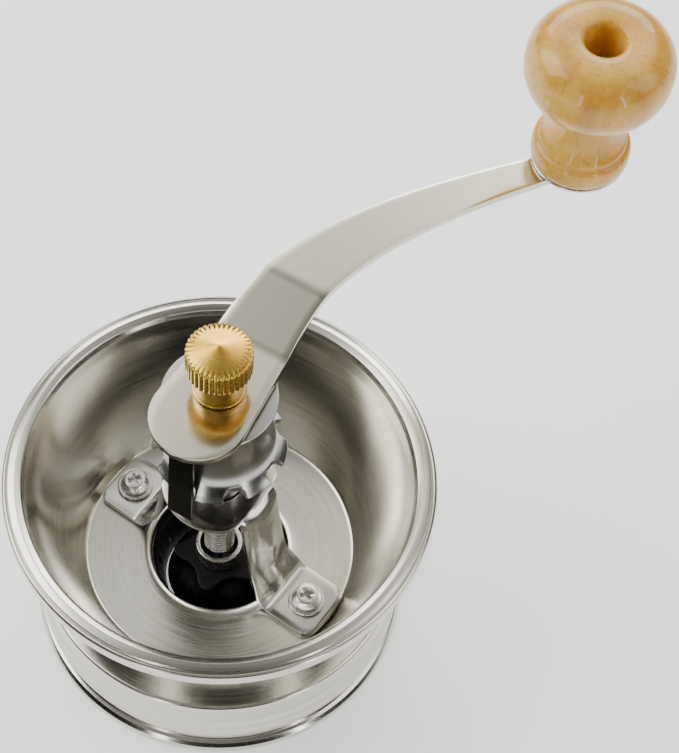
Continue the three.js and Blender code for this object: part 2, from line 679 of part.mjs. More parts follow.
function knob() {
  const rise = (r, share) => [r, knobUnder + knobHeight * share];
  const outline = [
    [knobBore, knobUnder], rise(knobBase - 0.8, 0), rise(knobBase - 0.1, 0.03), rise(knobBase, 0.09),
    rise(knobBase - 0.5, 0.14), rise(knobBase - 1.6, 0.16), rise(knobBase - 1.6, 0.19),
    rise(knobWaist + 0.9, 0.24), rise(knobWaist + 0.2, 0.32), rise(knobWaist, 0.4), rise(knobWaist + 0.7, 0.46),
    rise(knobWaist + 2.4, 0.5), rise(knobRadius - 4, 0.55), rise(knobRadius - 1.5, 0.62),
    rise(knobRadius - 0.4, 0.7), rise(knobRadius, 0.79), rise(knobRadius - 0.4, 0.86),
    rise(knobRadius - 1.9, 0.93), rise(knobRadius - 4.4, 0.98), rise(knobRadius - 7.4, 1),
    rise(knobWell + 0.5, 0.99), rise(knobWell, 0.97), [knobWell, wellFloor], [knobBore, wellFloor],
  ];
  return turned(outline, 24);
}
const knobSpot = new THREE.Group();
knobSpot.position.set(crankReach, 0, 0);
crank.add(knobSpot);
add('crank_knob', knob(), beech, knobSpot);
add('knob_washer', tube(knobWasherRadius, knobScrewRadius + gap, knobWasherUnder,
  knobWasherUnder + knobWasherThickness, 28), plainSteel, knobSpot);
const knobNutTop = eyeTop - crankThickness - gap;
add('knob_axle', panScrew(knobScrewRadius, knobScrewHead, wellFloor + gap, 2.2, knobNutTop - 3), plainSteel,
  knobSpot);
add('knob_nut', plate(hexagon(7, knobScrewRadius + gap), knobNutTop - 2.4, knobNutTop, 8), plainSteel, knobSpot);

export default group;
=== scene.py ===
# Hand crank coffee grinder head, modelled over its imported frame.
import json
from math import atan2, cos, hypot, pi, radians, sin, sqrt, tan

import bmesh
import bpy
from mathutils import Matrix, Vector


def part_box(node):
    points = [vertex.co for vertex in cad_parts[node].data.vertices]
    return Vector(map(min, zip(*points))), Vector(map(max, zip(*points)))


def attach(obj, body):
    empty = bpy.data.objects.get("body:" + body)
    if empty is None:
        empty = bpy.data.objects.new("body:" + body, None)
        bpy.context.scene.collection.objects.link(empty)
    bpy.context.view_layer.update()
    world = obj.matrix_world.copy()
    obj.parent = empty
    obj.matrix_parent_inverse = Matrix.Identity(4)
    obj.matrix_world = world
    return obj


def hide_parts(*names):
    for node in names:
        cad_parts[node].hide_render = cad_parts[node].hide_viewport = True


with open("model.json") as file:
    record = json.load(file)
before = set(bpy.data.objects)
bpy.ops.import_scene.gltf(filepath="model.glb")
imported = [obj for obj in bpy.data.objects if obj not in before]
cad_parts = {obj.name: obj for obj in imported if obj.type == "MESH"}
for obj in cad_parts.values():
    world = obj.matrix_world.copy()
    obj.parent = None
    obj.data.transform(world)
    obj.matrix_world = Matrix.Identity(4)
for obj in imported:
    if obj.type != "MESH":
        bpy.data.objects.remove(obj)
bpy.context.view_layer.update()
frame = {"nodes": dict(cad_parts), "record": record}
mm = 0.001
bodyOf = {node: body for body, nodes in frame["record"]["behaviour"]["bodies"].items() for node in nodes}


def low(node):
    return [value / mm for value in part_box(node)[0]]


def high(node):
    return [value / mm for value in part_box(node)[1]]


def middle(node):
    return Vector((low(node)[:2])).lerp(Vector(high(node)[:2]), 0.5)


class Wire:
    def __init__(self, finish, socket):
        self.finish = finish
        self.socket = socket

    def maths(self, operation, first, second):
        return self.finish.node("Math", {"operation": operation}, {0: first, 1: second})

    def __add__(self, other):
        return self.maths("ADD", self, other)

    def __radd__(self, other):
        return self.maths("ADD", other, self)

    def __sub__(self, other):
        return self.maths("SUBTRACT", self, other)

    def __rsub__(self, other):
        return self.maths("SUBTRACT", other, self)

    def __mul__(self, other):
        return self.maths("MULTIPLY", self, other)

    def __rmul__(self, other):
        return self.maths("MULTIPLY", other, self)

    def __truediv__(self, other):
        return self.maths("DIVIDE", self, other)

    def __rtruediv__(self, other):
        return self.maths("DIVIDE", other, self)

    def __pow__(self, other):
        return self.maths("POWER", self, other)

    def __rpow__(self, other):
        return self.maths("POWER", other, self)


class Finish:
    def __init__(self, name, world=False):
        self.material = (bpy.data.worlds if world else bpy.data.materials).new(name)
        self.material.use_nodes = True
        self.tree = self.material.node_tree
        self.tree.nodes.clear()

    # Any node: its type, its settings, then what goes into its sockets.
    def node(self, kind, settings=None, sockets=None, out=0):
        made = self.tree.nodes.new("ShaderNode" + kind)
        for key, value in (settings or {}).items():
            if key == "stops":
                ramp = made.color_ramp.elements
                while len(ramp) < len(value):
                    ramp.new(0.5)
                for stop, (place, color) in zip(ramp, value):
                    stop.position = place
                    stop.color = (*color, 1)
            else:
                setattr(made, key, value)
        for key, value in (sockets or {}).items():
            if isinstance(value, Wire):
                self.tree.links.new(value.socket, made.inputs[key])
            else:
                made.inputs[key].default_value = value
        return Wire(self, made.outputs[out]) if len(made.outputs) else None

    def objectPlace(self, centre=(0, 0)):
        place = self.node("TexCoord", out="Object")
        moved = (-centre[0] * mm, -centre[1] * mm, 0)
        return self.node("Mapping", None, {"Vector": place, "Location": moved})

    def split(self, vector):
        made = self.node("SeparateXYZ", None, {0: vector})
        outputs = made.socket.node.outputs
        return [Wire(self, outputs[k]) for k in range(3)]

    def noise(self, vector, scale, detail=2, rough=0.5):
        return self.node("TexNoise", None,
                         {"Vector": vector, "Scale": scale, "Detail": detail, "Roughness": rough})

    # Noise that is drawn out round the Z axis, as a spun or turned surface is marked.
    def roundGrain(self, place, fine, along=3, detail=3):
        x, y, z = self.split(place)
        radius = (x * x + y * y) ** 0.5 + 1e-6
        ring = self.node("CombineXYZ", None, {0: x / radius * along, 1: y / radius * along, 2: z * fine})
        return self.node("TexNoise", {"noise_dimensions": "4D"},
                         {"Vector": ring, "W": radius * fine, "Scale": 1.0, "Detail": detail})

    def span(self, value, low, high, fromLow=0.3, fromHigh=0.7):
        return self.node("MapRange", None, {"Value": value, "From Min": fromLow, "From Max": fromHigh,
                                            "To Min": low, "To Max": high})

    def blend(self, factor, one, other):
        made = self.node("Mix", {"data_type": "RGBA"}, {"Factor": factor, 6: one, 7: other}, out=2)
        return made

    def bump(self, height, strength, distance):
        return self.node("Bump", None, {"Height": height, "Strength": strength, "Distance": distance})

    def done(self, **sockets):
        names = {key.replace("_", " "): value for key, value in sockets.items()}
        shader = self.node("BsdfPrincipled", None, names)
        self.node("OutputMaterial", None, {"Surface": shader})
        return self.material


steelTone = dict(light=(0.69, 0.67, 0.595, 1), dark=(0.59, 0.57, 0.505, 1))


def spunSteel(name, roughLow, roughHigh, fine=5200, relief=0.08, tones=steelTone):
    finish = Finish(name)
    grain = finish.roundGrain(finish.objectPlace(), fine, 1.6, 2)
    broad = finish.roundGrain(finish.objectPlace(), 420, 0.9, 1)
    cloud = finish.noise(finish.objectPlace(), 40, 1)
    color = finish.blend(finish.span(grain, 0, 1), tones["dark"], tones["light"])
    rough = finish.span(grain, roughLow, roughHigh) + finish.span(cloud, -0.02, 0.03)
    return finish.done(Base_Color=color, Metallic=1.0, Roughness=rough, Anisotropic=0.6,
                       Normal=finish.bump(grain + broad * 0.15, relief, 0.00003))


# Drawn and buffed sheet: a slow swell bends its reflections, and hairlines break them a little.
def polishedSteel(name, rough=0.08, swell=0.3, tone=(0.74, 0.72, 0.65, 1)):
    finish = Finish(name)
    place = finish.objectPlace()
    wave = finish.noise(place, 38, 1)
    hairlines = finish.noise(place, 420, 3, 0.6)
    worn = tuple(value * 0.94 for value in tone[:3])
    color = finish.blend(finish.span(hairlines, 0, 1), tone, (*worn, 1))
    return finish.done(Base_Color=color, Metallic=1.0,
                       Roughness=finish.span(hairlines, rough, rough + 0.05),
                       Normal=finish.bump(wave, swell, 0.0003))


def plainSteel(name, tint=(0.60, 0.59, 0.56)):
    finish = Finish(name)
    cloud = finish.noise(finish.objectPlace(), 900, 2)
    worn = tuple(value * 0.92 for value in tint)
    color = finish.blend(finish.span(cloud, 0, 1), (*worn, 1), (*tint, 1))
    return finish.done(Base_Color=color, Metallic=1.0, Roughness=finish.span(cloud, 0.2, 0.34),
                       Normal=finish.bump(cloud, 0.06, 0.00001))


def blackIron(name):
    finish = Finish(name)
    sand = finish.noise(finish.objectPlace(), 1400, 5)
    color = finish.blend(finish.span(sand, 0, 1), (0.006, 0.006, 0.006, 1), (0.018, 0.018, 0.017, 1))
    return finish.done(Base_Color=color, Metallic=0.2, Specular_IOR_Level=0.2,
                       Roughness=finish.span(sand, 0.38, 0.55),
                       Normal=finish.bump(sand, 0.4, 0.00006))


# Threaded steel: a helix of painted shade, dark in the grooves, that follows the modelled ones.
def threadedSteel(name, pitch, tone=(0.86, 0.85, 0.82, 1)):
    finish = Finish(name)
    x, y, z = finish.split(finish.objectPlace())
    phase = z / (pitch * mm) - y.maths("ARCTAN2", y, x) / (2 * pi)
    groove = phase.maths("PINGPONG", phase, 0.5) * 2
    # The near-black groove colour is painted shade that stands in for the shadow inside the thread grooves.
    color = finish.blend(finish.span(groove, 0, 1, 0.35, 0.85), tone, (0.10, 0.098, 0.09, 1))
    return finish.done(Base_Color=color, Metallic=1.0, Roughness=finish.span(groove, 0.16, 0.4))


# Turned brass: fine rings that draw its highlights out into fans on the conical top.
def turnedBrass(name):
    finish = Finish(name)
    place = finish.objectPlace()
    rings = finish.roundGrain(place, 5200, 1.5, 2)
    tarnish = finish.noise(place, 220, 3)
    color = finish.blend(finish.span(tarnish, 0, 1), (0.56, 0.33, 0.045, 1), (0.74, 0.47, 0.09, 1))
    return finish.done(Base_Color=color, Metallic=1.0, Roughness=finish.span(rings, 0.2, 0.29),
                       Anisotropic=0.75, Normal=finish.bump(rings, 0.12, 0.00003))


# Pale hardwood turned with its grain upright: broad figure, fine pores and short dark flecks.
def lacqueredWood(name, centre):
    finish = Finish(name)
    place = finish.objectPlace(centre)
    x, y, z = finish.split(place)
    drawn = finish.node("CombineXYZ", None, {0: x, 1: y, 2: z * 0.12})
    figure = finish.noise(drawn, 130, 3, 0.55)
    pores = finish.noise(drawn, 1500, 3, 0.6)
    short = finish.node("CombineXYZ", None, {0: x, 1: y, 2: z * 0.35})
    flecks = finish.span(finish.noise(short, 900, 1), 0, 1, 0.62, 0.74)
    base = finish.node("ValToRGB", {"stops": [(0.32, (0.58, 0.27, 0.022)), (0.5, (0.72, 0.39, 0.045)),
                                              (0.68, (0.82, 0.49, 0.085))]}, {"Fac": figure})
    pored = finish.blend(finish.span(pores, 0.35, 0), base, (0.42, 0.19, 0.02, 1))
    color = finish.blend(flecks * 0.4, pored, (0.30, 0.12, 0.02, 1))
    return finish.done(Base_Color=color, Roughness=finish.span(pores, 0.30, 0.42), Specular_IOR_Level=0.3,
                       Coat_Weight=0.45, Coat_Roughness=0.07,
                       Normal=finish.bump(pores - flecks, 0.12, 0.00005))


def paleRubber(name):
    finish = Finish(name)
    cloud = finish.noise(finish.objectPlace(), 700, 4)
    color = finish.blend(finish.span(cloud, 0, 1), (0.62, 0.61, 0.57, 1), (0.72, 0.71, 0.67, 1))
    return finish.done(Base_Color=color, Roughness=finish.span(cloud, 0.55, 0.7),
                       Normal=finish.bump(cloud, 0.2, 0.00005))


# Corners are (u, v) or (u, v, fillet); a fillet becomes a short curve.
def rounded(corners, closed=True, steps=5):
    line = []
    for i, corner in enumerate(corners):
        here = Vector(corner[:2])
        inside = closed or 0 < i < len(corners) - 1
        if len(corner) < 3 or not inside:
            line.append(here)
            continue
        before = Vector(corners[i - 1][:2]) - here
        after = Vector(corners[(i + 1) % len(corners)][:2]) - here
        reach = min(corner[2] / tan(before.angle(after) / 2), before.length * 0.49, after.length * 0.49)
        start = here + before.normalized() * reach
        end = here + after.normalized() * reach
        for k in range(steps + 1):
            t = k / steps
            line.append(start * (1 - t) ** 2 + here * (2 * t * (1 - t)) + end * t ** 2)
    return line


# A smooth line through its points.
def flowing(points, steps=6):
    points = [Vector(point) for point in points]
    line = []
    for i in range(len(points) - 1):
        ahead = points[min(i + 2, len(points) - 1)]
        behind = points[max(i - 1, 0)]
        here, there = points[i], points[i + 1]
        pull = (there - behind) / 6
        push = (ahead - here) / 6
        for k in range(steps):
            t = k / steps
            line.append(here * (1 - t) ** 3 + (here + pull) * (3 * t * (1 - t) ** 2)
                        + (there - push) * (3 * t * t * (1 - t)) + there * t ** 3)
    return line + [points[-1]]


def dense(line, step):
    out = []
    for here, there in zip(line, line[1:]):
        count = max(1, round((there - here).length / step))
        out += [here.lerp(there, k / count) for k in range(count)]
    return out + [line[-1]]


def spun(outline, steps=96, centre=(0, 0)):
    shape = bmesh.new()
    points = [shape.verts.new((r * mm, 0, z * mm)) for r, z in outline]
    onAxis = outline[0][0] == 0 and outline[-1][0] == 0
    following = points[1:] if onAxis else points[1:] + points[:1]
    edges = [shape.edges.new(pair) for pair in zip(points, following)]
    bmesh.ops.spin(shape, geom=points + edges, cent=(0, 0, 0), axis=(0, 0, 1), angle=2 * pi,
                   steps=steps, use_merge=True)
    bmesh.ops.remove_doubles(shape, verts=shape.verts, dist=1e-7)
    bmesh.ops.recalc_face_normals(shape, faces=shape.faces)
    bmesh.ops.translate(shape, verts=shape.verts, vec=(centre[0] * mm, centre[1] * mm, 0))
    return shape


# A strip that follows a path of (u, z) and is 2 * halfWidth(u) wide.
def strap(path, halfWidth, cuts=4):
    shape = bmesh.new()
    row = [shape.verts.new((u * mm, -mm, z * mm)) for u, z in path]
    edges = [shape.edges.new(pair) for pair in zip(row, row[1:])]
    pulled = bmesh.ops.extrude_edge_only(shape, edges=edges)["geom"]
    far = [item for item in pulled if isinstance(item, bmesh.types.BMVert)]
    bmesh.ops.translate(shape, verts=far, vec=(0, 2 * mm, 0))
    crossing = [edge for edge in shape.edges if abs(edge.verts[0].co.y - edge.verts[1].co.y) > mm]
    bmesh.ops.subdivide_edges(shape, edges=crossing, cuts=cuts, use_grid_fill=True)
    for vert in shape.verts:
        vert.co.y *= max(halfWidth(vert.co.x / mm), 0.05)
    bmesh.ops.recalc_face_normals(shape, faces=shape.faces)
    if sum(face.normal.z * face.calc_area() for face in shape.faces) < 0:
        bmesh.ops.reverse_faces(shape, faces=shape.faces)
    return shape


def makeObject(name, shape):
    mesh = bpy.data.meshes.new(name)
    shape.to_mesh(mesh)
    shape.free()
    made = bpy.data.objects.new(name, mesh)
    bpy.context.scene.collection.objects.link(made)
    return made


def thicken(made, thickness):
    step = made.modifiers.new("wall", "SOLIDIFY")
    step.thickness = thickness * mm
    step.offset = -1


def settle(made):
    graph = bpy.context.evaluated_depsgraph_get()
    made.data = bpy.data.meshes.new_from_object(made.evaluated_get(graph))
    made.modifiers.clear()


def carve(made, *cutters):
    tools = [makeObject("cutter", cutter) for cutter in cutters]
    for tool in tools:
        step = made.modifiers.new("carve", "BOOLEAN")
        step.operation = "DIFFERENCE"
        step.solver = "EXACT"
        step.object = tool
    settle(made)
    for tool in tools:
        bpy.data.objects.remove(tool)


def soften(made, width, segments=2, angle=40):
    step = made.modifiers.new("edges", "BEVEL")
    step.width = width * mm
    step.segments = segments
    step.limit_method = "ANGLE"
    step.angle_limit = radians(angle)
    settle(made)


def rod(radius, bottom, top, centre=(0, 0), steps=48):
    return spun([(0, bottom), (radius, bottom), (radius, top), (0, top)], steps, centre)


# Gives a finished shape its shading, finish and body, and hides the CAD node that it stands for.
def show(made, node, finish, sharp=38):
    made.data.shade_smooth()
    made.data.set_sharp_from_angle(angle=radians(sharp))
    made.data.materials.clear()
    made.data.materials.append(finish)
    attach(made, bodyOf[node])
    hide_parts(node)
    return made


hopperSteel = spunSteel("hopper steel", 0.17, 0.24)
collarSteel = spunSteel("collar steel", 0.14, 0.2, 2400)
mirrorSteel = polishedSteel("polished steel", 0.2, 0.1, (0.44, 0.43, 0.405, 1))
bridgeSteel = polishedSteel("bridge steel", 0.15, 0.15, (0.66, 0.645, 0.60, 1))
armSteel = polishedSteel("arm steel", 0.13, 0.06, (0.64, 0.615, 0.505, 1))
clipSteel = polishedSteel("clip steel", 0.12, 0.1, (0.07, 0.07, 0.065, 1))
fastenerSteel = plainSteel("fastener steel", (0.72, 0.71, 0.68))
threadSteel = threadedSteel("thread steel", 1.25)
burrIron = blackIron("burr iron")
brass = turnedBrass("turned brass")
knobCentre = middle("crank_knob")
wood = lacqueredWood("lacquered wood", knobCentre)
rubber = paleRubber("gasket rubber")
print("finishes made")


hopper = dict(floor=20.9, floorRadius=33.1, wallTop=(45.2, 53), lean=4, sheet=0.8, throat=16.5, lip=3.4)


# The wall leaves the rim nearly upright and leans out more towards the floor.
def hopperWall(offset, steps=18):
    top = Vector(hopper["wallTop"])
    foot = Vector((hopper["floorRadius"], hopper["floor"]))
    chord = top - foot
    lean = radians(hopper["lean"])
    half = atan2(chord.x, chord.y) - lean
    radius = chord.length / (2 * sin(half))
    centre = top + Vector((-radius * cos(lean), radius * sin(lean)))
    turns = [lean + 2 * half * k / steps for k in range(steps + 1)]
    return [centre + Vector((cos(turn), -sin(turn))) * (radius + offset) for turn in turns]


def makeHopper():
    top = high("hopper_bowl")[2]
    rim = high("hopper_bowl")[0]
    floor, sheet, throat, lip = hopper["floor"], hopper["sheet"], hopper["throat"], hopper["lip"]
    bottom = low("hopper_bowl")[2]
    rimLine = rounded([
        (45.4, 54), (45.6, top - 1.8, 0.4), (46.3, top - 0.6, 0.9), (47.8, top, 1.4), (48.1, top - 0.06),
        (49.5, top - 0.5, 0.5), (49.9, top - 1.1), (50.3, top - 0.85, 0.3), (rim, top - 1.3, 0.8),
        (rim, top - 4.3, 0.9), (50.0, top - 5.1, 0.5), (49.2, top - 4.9, 0.3), (48.9, top - 3.6, 0.6),
        (46.6, top - 3.4, 0.6)], closed=False)
    wall = list(reversed(hopperWall(0)))
    inner = rounded([(30, floor), (*wall[0], 1.3), wall[1]], closed=False, steps=6)[1:-1] + wall[1:]
    outer = hopperWall(sheet)
    lipLine = flowing([(throat, bottom), (throat, bottom + 0.7), (throat + lip * 0.12, floor - 0.8),
                       (throat + lip * 0.45, floor - 0.2), (throat + lip, floor)])
    under = flowing([(throat + lip, floor - sheet), (throat + lip * 0.6, floor - sheet - 0.15),
                     (throat + lip * 0.3, floor - sheet - 0.6), (throat + sheet, bottom)])
    outline = lipLine + inner + rimLine + outer[:-1]
    outline += [Vector((hopper["floorRadius"] + 0.4, floor - sheet))] + under
    show(makeObject("hopper-bowl", spun(outline, 160)), "hopper_bowl", hopperSteel)


collar = dict(radius=44.6, bead=46.2, recess=37.2, ridges=(9.2, 13.5), sheet=0.8)


def makeCollar():
    top = high("screw_collar")[2]
    radius, bead, recess, sheet = (collar[key] for key in ("radius", "bead", "recess", "sheet"))
    web = hopper["floor"] - 1.1
    outside = [(bead - 0.9, 0, 0.4), (bead, 0.9, 0.8), (bead - 0.12, 1.7), (bead, 2.0), (bead, 2.9, 0.7),
               (bead - 0.9, 3.9, 0.5), (radius - 0.25, 4.3, 0.2), (radius, 4.8, 0.3)]
    for z in collar["ridges"]:
        outside += [(radius, z - 2.05, 0.6), (radius + 0.65, z - 0.6, 0.9), (radius + 0.65, z + 0.6, 0.9),
                    (radius, z + 2.05, 0.6)]
    outside += [(radius, top - 0.1, 1.2), (recess + 0.2, top, 0.5), (recess, web, 0.4),
                (19.8, web), (19.8, web - sheet)]
    inside = [(recess + sheet, web - sheet, 0.6), (recess + sheet, top - sheet, 0.4),
              (radius - sheet, top - sheet, 0.6)]
    for z in reversed(collar["ridges"]):
        inside += [(radius - sheet, z + 2, 0.5), (radius - 0.3, z + 0.5, 0.5), (radius - 0.3, z - 0.5, 0.5),
                   (radius - sheet, z - 2, 0.5)]
    inside += [(radius - sheet, 0.9, 0.3), (radius - 0.2, 0, 0.2)]
    show(makeObject("screw-collar", spun(rounded(outside + inside), 160)), "screw_collar", collarSteel)


makeHopper()
makeCollar()


# Rings and sleeves whose outline is a rectangle.
def makeRing(name, node, finish, inner, edge=0.15, steps=64):
    bottom, top = low(node)[2], high(node)[2]
    centre = middle(node)
    outer = high(node)[0] - centre[0]
    outline = rounded([(inner, bottom, edge), (outer, bottom, edge),
                       (outer, top, edge), (inner, top, edge)])
    show(makeObject(name, spun(outline, steps, centre)), node, finish)


rings = dict(
    jar_gasket=(rubber, 38.5, 0.5),
    burr_spacer=(fastenerSteel, 4.6, 0.35),
    burr_washer=(fastenerSteel, 4.2, 0.15),
    adjusting_nut=(mirrorSteel, 4.2, 0.3),
    bell_cap=(mirrorSteel, 4.2, 0.35),
    knob_washer=(fastenerSteel, 2.3, 0.25),
    bridge_washer_left=(fastenerSteel, 2.2, 0.3),
    bridge_washer_right=(fastenerSteel, 2.2, 0.3))
for ringNode, (ringFinish, ringBore, ringEdge) in rings.items():
    makeRing(ringNode.replace("_", "-"), ringNode, ringFinish, ringBore, ringEdge)


housing = dict(radius=21.1, bore=19.9, ledge=16.5, sheet=1.2)


# A cup that hangs under the throat from its flange.
def makeHousing():
    bottom, top = low("burr_housing")[2], high("burr_housing")[2]
    flange = high("burr_housing")[0]
    radius, bore, ledge, sheet = (housing[key] for key in ("radius", "bore", "ledge", "sheet"))
    outline = rounded([(ledge, bottom, 0.2), (radius, bottom, 1.1), (radius, top - sheet, 0.6),
                       (flange, top - sheet, 0.2), (flange, top, 0.2), (bore, top, 0.8),
                       (bore, bottom + sheet, 0.4), (ledge, bottom + sheet, 0.2)])
    show(makeObject("burr-housing", spun(outline, 120)), "burr_housing", fastenerSteel)


bush = dict(bore=4.2, sleeve=5.7, flange=7.6, flangeHeight=1.2)


def makeBush():
    bottom, top = low("bridge_bush")[2], high("bridge_bush")[2]
    bore, sleeve, flange = bush["bore"], bush["sleeve"], bush["flange"]
    step = bottom + bush["flangeHeight"]
    outline = rounded([(bore, bottom, 0.1), (flange, bottom, 0.3), (flange, step, 0.2), (sleeve, step),
                       (sleeve, top, 0.2), (bore, top)])
    show(makeObject("bridge-bush", spun(outline, 64)), "bridge_bush", mirrorSteel)


makeHousing()
makeBush()
print("hopper, collar and rings made")


strapBridge = dict(turn=143, half=6.5, footHalf=7.7, footCorner=2.4, thickness=1.5, shoulder=11.4,
                   crease=0.7, plate=13.5, bore=6, end=32, screwAt=26.5, screwHole=2.2)


def makeBridge():
    size = strapBridge
    top = high("bridge")[2]
    foot = low("bridge")[2] + size["thickness"]
    plate, end = size["plate"], size["end"]
    side = [(end, foot), (19.6, foot, 3.2), (15.4, 30, 16), (13.4, top, 4.2)]
    path = rounded([(-u, *rest) for u, *rest in side] + side[::-1], closed=False, steps=9)
    corner = size["footCorner"]

    def halfWidth(u):
        reach = abs(u)
        disc = sqrt(max(plate ** 2 - reach ** 2, 0))
        share = min(max((reach - 15) / 4.5, 0), 1)
        width = size["half"] + (size["footHalf"] - size["half"]) * share * share * (3 - 2 * share)
        past = reach - (end - corner)
        if past > 0:
            width -= corner - sqrt(max(corner ** 2 - past ** 2, 0))
        return max(width, disc if reach < plate - 0.6 else 0)

    shape = strap(dense(path, 0.5), halfWidth, 8)
    for vert in shape.verts:
        u, y, z = (value / mm for value in vert.co)
        if abs(u) < size["shoulder"]:
            continue
        rise = min(max((z - foot - 4) / 22, 0), 1)
        crown = (sqrt(plate ** 2 - min(abs(y), 7) ** 2) - plate) * rise
        leg = min(max((top - 8 - z) / 10, 0), 1) * min(max((z - foot) / 5, 0), 1)
        crease = size["crease"] * leg * (2.718 ** (-((y + 1) / 1.1) ** 2))
        vert.co.x += (crown + crease) * mm * (1 if u > 0 else -1)
    made = makeObject("bridge-strap", shape)
    thicken(made, size["thickness"])
    places = (-size["screwAt"], size["screwAt"])
    holes = [rod(size["screwHole"], foot - 4, foot + 4, (u, 0), 32) for u in places]
    carve(made, rod(size["bore"], top - 4, top + 4), *holes)
    made.data.transform(Matrix.Rotation(radians(size["turn"]), 4, "Z"))
    soften(made, 0.22)
    show(made, "bridge", bridgeSteel)


recess = dict(turn=20, across=1.35, slot=0.3, tall=4.2, taper=0.45)


# A pan head with a cross recess on a round shank.
def makeScrew(name, node, shank, headRadius, headHeight):
    bottom, top = low(node)[2], high(node)[2]
    under = top - headHeight
    outline = rounded([(0, bottom), (shank, bottom, 0.3), (shank, under), (headRadius, under, 0.15),
                       (headRadius, under + headHeight * 0.5, headHeight * 0.3),
                       (headRadius * 0.72, top - 0.08, headHeight * 0.4), (0, top)], closed=False)
    made = makeObject(name, spun(outline, 64))
    slots = []
    for turn in (recess["turn"], recess["turn"] + 90):
        slot = bmesh.new()
        bmesh.ops.create_cube(slot, size=1)
        across = Vector((headRadius * recess["across"], headRadius * recess["slot"], recess["tall"]))
        bmesh.ops.scale(slot, verts=slot.verts, vec=across * mm)
        for vert in slot.verts:
            if vert.co.z < 0:
                vert.co.x *= recess["taper"]
        swing = Matrix.Rotation(radians(turn), 3, "Z")
        bmesh.ops.rotate(slot, verts=slot.verts, cent=(0, 0, 0), matrix=swing)
        bmesh.ops.translate(slot, verts=slot.verts, vec=(0, 0, (top + 0.1) * mm))
        slots.append(slot)
    carve(made, *slots)
    centre = middle(node)
    made.data.transform(Matrix.Translation((centre[0] * mm, centre[1] * mm, 0)))
    soften(made, 0.07, 2, 50)
    show(made, node, fastenerSteel)


makeBridge()
for sideName in ("left", "right"):
    makeScrew(f"bridge-screw-{sideName}", f"bridge_screw_{sideName}", 1.9, 3.6, 2.5)
makeScrew("knob-axle", "knob_axle", 2, 3.6, 2.2)
print("bridge and screws made")


thread = dict(pitch=1.25, depth=0.6, radius=3.85, start=24.0, stop=53.0, rows=8)


def makeShaft():
    bottom, top = low("drive_shaft")[2], high("drive_shaft")[2]
    start, stop = thread["start"], thread["stop"]
    radius = thread["radius"]
    count = round((stop - start) / thread["pitch"] * thread["rows"])
    rows = [(radius, start + (stop - start) * k / count) for k in range(count + 1)]
    outline = [(0, bottom), (radius, bottom), *rows, (radius, top), (0, top)]
    shape = spun(outline, 48)
    for vert in shape.verts:
        z = vert.co.z / mm
        reach = hypot(vert.co.x, vert.co.y)
        if not start < z < stop or reach < mm:
            continue
        phase = (z / thread["pitch"] - atan2(vert.co.y, vert.co.x) / (2 * pi)) % 1
        groove = thread["depth"] * mm * (1 - abs(2 * phase - 1)) ** 0.8
        factor = (reach - groove) / reach
        vert.co.x *= factor
        vert.co.y *= factor
    show(makeObject("drive-shaft", shape), "drive_shaft", threadSteel, 60)


burr = dict(tip=11.4, valley=7.9, lobes=5, turn=178, radius=13.1)


def makeInnerBurr():
    bottom, top = low("inner_burr")[2], high("inner_burr")[2]
    half = bottom + (top - bottom) * 0.5
    lobeUnder = top - 2.4
    tip, radius = burr["tip"], burr["radius"]
    outline = dense(rounded([(4.2, bottom), (radius - 0.6, bottom, 0.2), (radius, bottom + 0.9, 0.3),
                             (radius - 1.2, half, 1), (tip, lobeUnder, 0.6), (tip, top, 0.7), (4.2, top)],
                            closed=False), 0.7)
    shape = spun(outline, 180)
    for vert in shape.verts:
        x, y, z = (value / mm for value in vert.co)
        reach = hypot(x, y)
        if reach < 4.6:
            continue
        angle = atan2(y, x)
        lobe = ((1 + cos(burr["lobes"] * (angle - radians(burr["turn"])))) / 2) ** 1.5
        share = min(max((z - half) / (lobeUnder - half), 0), 1)
        starred = share * share * (3 - 2 * share)
        cut = starred * (burr["valley"] - tip) * (1 - lobe) * (reach - 4.2) / (tip - 4.2)
        cut += (1 - starred) * 0.4 * (cos(24 * angle + z * 0.5) - 1) * (reach > 10 and z > bottom + 1.2)
        vert.co.x *= 1 + cut / reach
        vert.co.y *= 1 + cut / reach
    show(makeObject("inner-burr", shape), "inner_burr", burrIron, 50)


makeShaft()
makeInnerBurr()


bell = dict(waist=11.4, tooth=15.6, root=13.2, teeth=8, turn=-9, notchInside=4.2, notchOutside=8.4,
            notchCorner=1.2, sheet=1.2)


